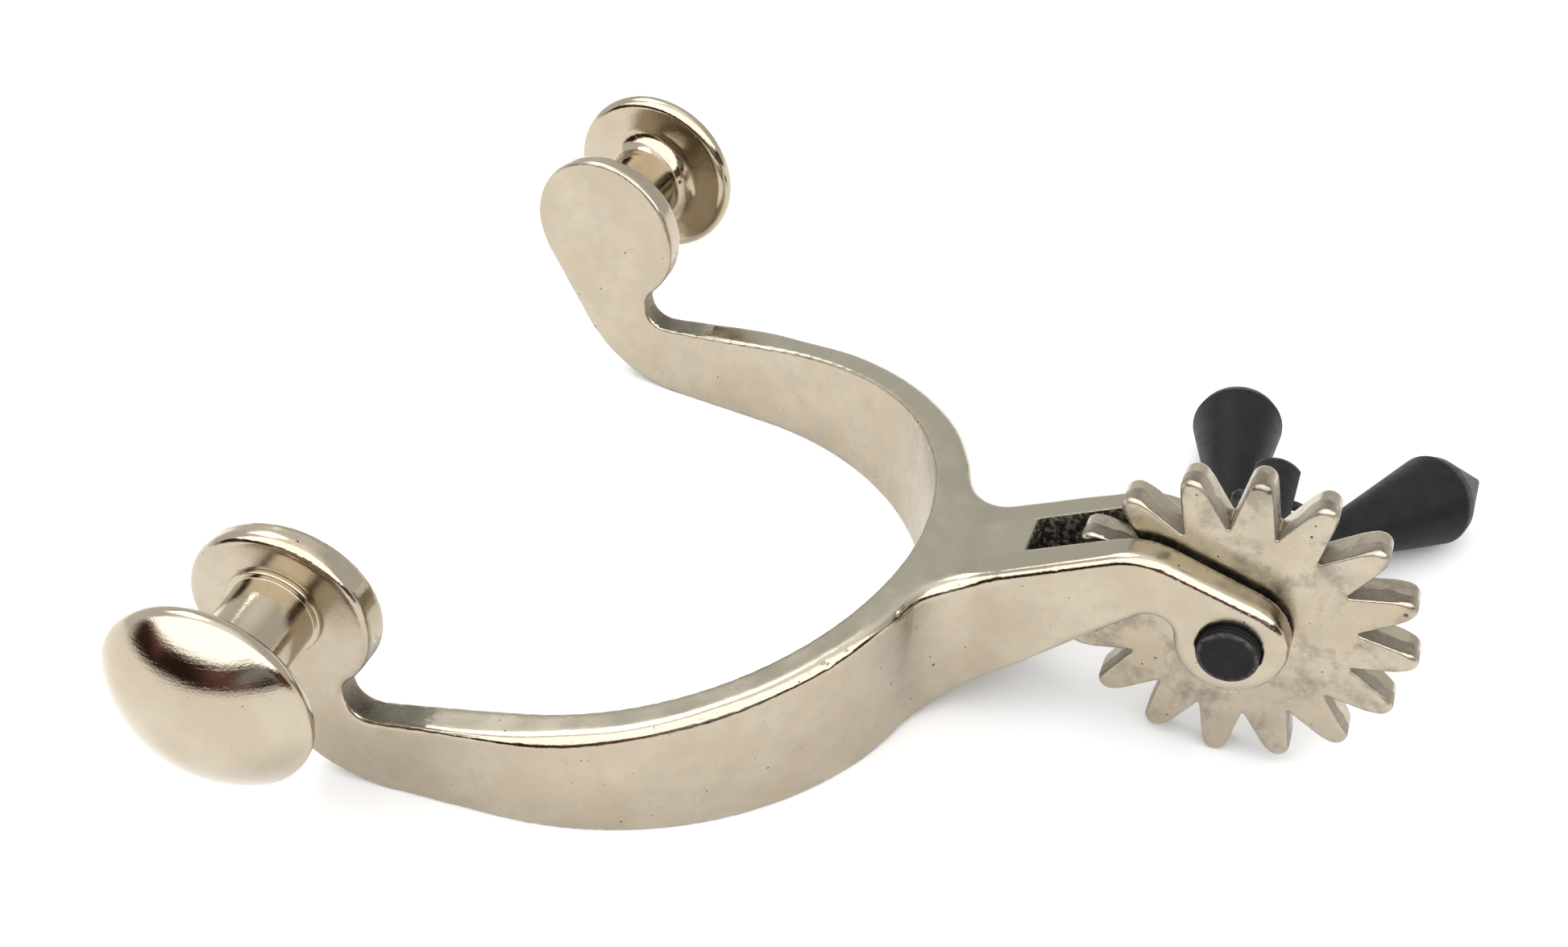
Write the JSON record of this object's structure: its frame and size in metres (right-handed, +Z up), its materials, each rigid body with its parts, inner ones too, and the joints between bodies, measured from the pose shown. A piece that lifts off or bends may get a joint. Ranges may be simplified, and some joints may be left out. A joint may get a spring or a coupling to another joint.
{
  "type": "western riding spur",
  "caption": "Cast western spur: heel band with strap buttons, forked shank, toothed rowel on a pin, and two hanging jingle bobs.",
  "frame": {"origin": "centre of the boot heel's arc, on the plane the spur rests on", "axes": "+X back along the shank to the rowel, +Y to the side that carries the jingle bobs, +Z up"},
  "size_m": [0.1073, 0.1028, 0.032],
  "materials": {
    "nickel": "polished nickel plate on cast metal, warm, with fine pits and handling wear",
    "black_oxide": "matte black oxide on turned steel"
  },
  "bodies": {
    "spur": {"heel_band": "nickel", "button_left": "nickel", "button_right": "nickel", "rowel_pin": "black_oxide"},
    "rowel": {"rowel": "nickel"},
    "hanger": {"hanger_link": "black_oxide"},
    "bob_left": {"bob_left": "black_oxide", "bob_eye_left": "black_oxide"},
    "bob_right": {"bob_right": "black_oxide", "bob_eye_right": "black_oxide"}
  },
  "joints": [
    {"name": "rowel_spin", "type": "hinge", "parent": "spur", "child": "rowel", "pos_m": [0.0607, 0, 0.016], "axis": [0, 1, 0], "continuous": true},
    {"name": "hanger_swing", "type": "hinge", "parent": "spur", "child": "hanger", "pos_m": [0.0607, 0.0175, 0.016], "axis": [1, 0, 0], "range_deg": [-30, 80]},
    {"name": "bob_left_swing", "type": "hinge", "parent": "hanger", "child": "bob_left", "pos_m": [0.0575, 0.02259, 0.00557], "axis": [0.9908, 0.1217, 0.0593], "range_deg": [-50, 50]},
    {"name": "bob_right_swing", "type": "hinge", "parent": "hanger", "child": "bob_right", "pos_m": [0.0639, 0.02259, 0.00557], "axis": [0.7512, -0.5933, -0.2894], "range_deg": [-50, 50]}
  ]
}
